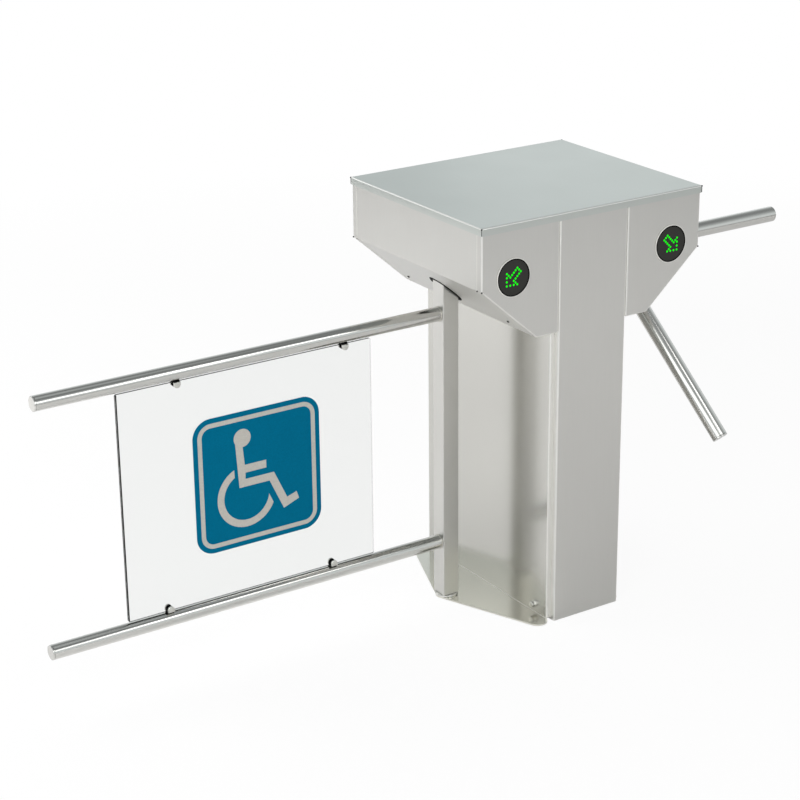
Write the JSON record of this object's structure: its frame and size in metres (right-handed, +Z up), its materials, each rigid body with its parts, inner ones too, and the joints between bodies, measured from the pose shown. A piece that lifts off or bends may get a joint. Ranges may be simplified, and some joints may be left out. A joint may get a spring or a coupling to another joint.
{
  "type": "turnstile",
  "caption": "Waist-high pedestal turnstile: sheet-metal column and head, an inclined three-arm hub on one side and a swinging rail gate with a clear panel on the other.",
  "frame": {"origin": "on the floor plane, at the centre of the column's foot", "axes": "+X from the column to the arms, the gate is on -X; -Y is the front with the channel face that the picture shows; +Z up"},
  "size_m": [2.0354, 0.718, 1],
  "materials": {
    "brushed_stainless": "brushed stainless sheet",
    "polished_tube": "polished stainless tube",
    "cast_aluminium": "cast and machined",
    "zinc_plated_steel": "zinc plated, satin",
    "black_plastic": "moulded, fine grain",
    "clear_acrylic": "clear cast sheet",
    "sign_film": "printed film on sheet",
    "circuit_board": "solder mask"
  },
  "bodies": {
    "cabinet": {"base_plate": "brushed_stainless", "left_wall": "brushed_stainless", "right_wall": "brushed_stainless", "front_channel": "brushed_stainless", "rear_channel": "brushed_stainless", "front_left_wing": "brushed_stainless", "front_right_wing": "brushed_stainless", "rear_left_wing": "brushed_stainless", "rear_right_wing": "brushed_stainless", "left_skin": "brushed_stainless", "right_skin": "brushed_stainless", "lid": "brushed_stainless", "deck_plate": "zinc_plated_steel", "mechanism_plate": "zinc_plated_steel", "front_cheek": "zinc_plated_steel", "rear_cheek": "zinc_plated_steel", "bearing_housing": "cast_aluminium", "outer_bearing": "zinc_plated_steel", "inner_bearing": "zinc_plated_steel", "front_solenoid": "black_plastic", "rear_solenoid": "black_plastic", "damper": "black_plastic", "control_board": "circuit_board", "power_supply": "cast_aluminium", "gate_bracket": "zinc_plated_steel", "gate_bearing": "zinc_plated_steel", "pivot_disc": "zinc_plated_steel", "gate_brake": "zinc_plated_steel", "front_left_indicator": "black_plastic", "front_right_indicator": "black_plastic", "rear_left_indicator": "black_plastic", "rear_right_indicator": "black_plastic"},
    "tripod": {"hub": "cast_aluminium", "arm_1": "polished_tube", "arm_2": "polished_tube", "arm_3": "polished_tube", "arm_cap_1": "polished_tube", "arm_cap_2": "polished_tube", "arm_cap_3": "polished_tube", "main_shaft": "zinc_plated_steel", "index_disc": "zinc_plated_steel", "shaft_nut": "zinc_plated_steel"},
    "gate": {"gate_post": "polished_tube", "foot_pivot": "zinc_plated_steel", "head_pivot": "zinc_plated_steel", "upper_rail": "polished_tube", "lower_rail": "polished_tube", "upper_rail_cap": "polished_tube", "lower_rail_cap": "polished_tube", "acrylic_panel": "clear_acrylic", "sign_plate": "sign_film", "panel_clip_1": "polished_tube", "panel_clip_2": "polished_tube", "panel_clip_3": "polished_tube", "panel_clip_4": "polished_tube", "brake_disc": "zinc_plated_steel"},
    "front_pawl_lever": {"front_pawl": "zinc_plated_steel"},
    "rear_pawl_lever": {"rear_pawl": "zinc_plated_steel"},
    "front_coil_plunger": {"front_plunger": "zinc_plated_steel"},
    "rear_coil_plunger": {"rear_plunger": "zinc_plated_steel"}
  },
  "joints": [
    {"name": "tripod_turn", "type": "hinge", "parent": "cabinet", "child": "tripod", "pos_m": [0.24693, 0, 0.79231], "axis": [0.6606, 0, -0.7507], "continuous": true},
    {"name": "gate_swing", "type": "hinge", "parent": "cabinet", "child": "gate", "pos_m": [-0.2224, 0, 0], "axis": [0, 0, 1], "range_deg": [-90, 90]},
    {"name": "front_pawl_turn", "type": "hinge", "parent": "cabinet", "child": "front_pawl_lever", "pos_m": [0.24282, -0.06, 0.91656], "axis": [-0.6606, 0, 0.7507], "range_deg": [0, 12], "stiffness_Nm_per_rad": 0.2, "springref_deg": -11.46},
    {"name": "rear_pawl_turn", "type": "hinge", "parent": "cabinet", "child": "rear_pawl_lever", "pos_m": [0.24282, 0.06, 0.91656], "axis": [0.6606, 0, -0.7507], "range_deg": [0, 12], "stiffness_Nm_per_rad": 0.2, "springref_deg": -11.46},
    {"name": "front_plunger_slide", "type": "slide", "parent": "cabinet", "child": "front_coil_plunger", "axis": [0.7507, 0, 0.6606], "range_m": [0, 0.0041]},
    {"name": "rear_plunger_slide", "type": "slide", "parent": "cabinet", "child": "rear_coil_plunger", "axis": [0.7507, 0, 0.6606], "range_m": [0, 0.0041]}
  ],
  "couplings": [
    {"joint": "front_plunger_slide", "follows": "front_pawl_turn", "m_per_rad": 0.019271},
    {"joint": "rear_plunger_slide", "follows": "rear_pawl_turn", "m_per_rad": 0.019271}
  ]
}
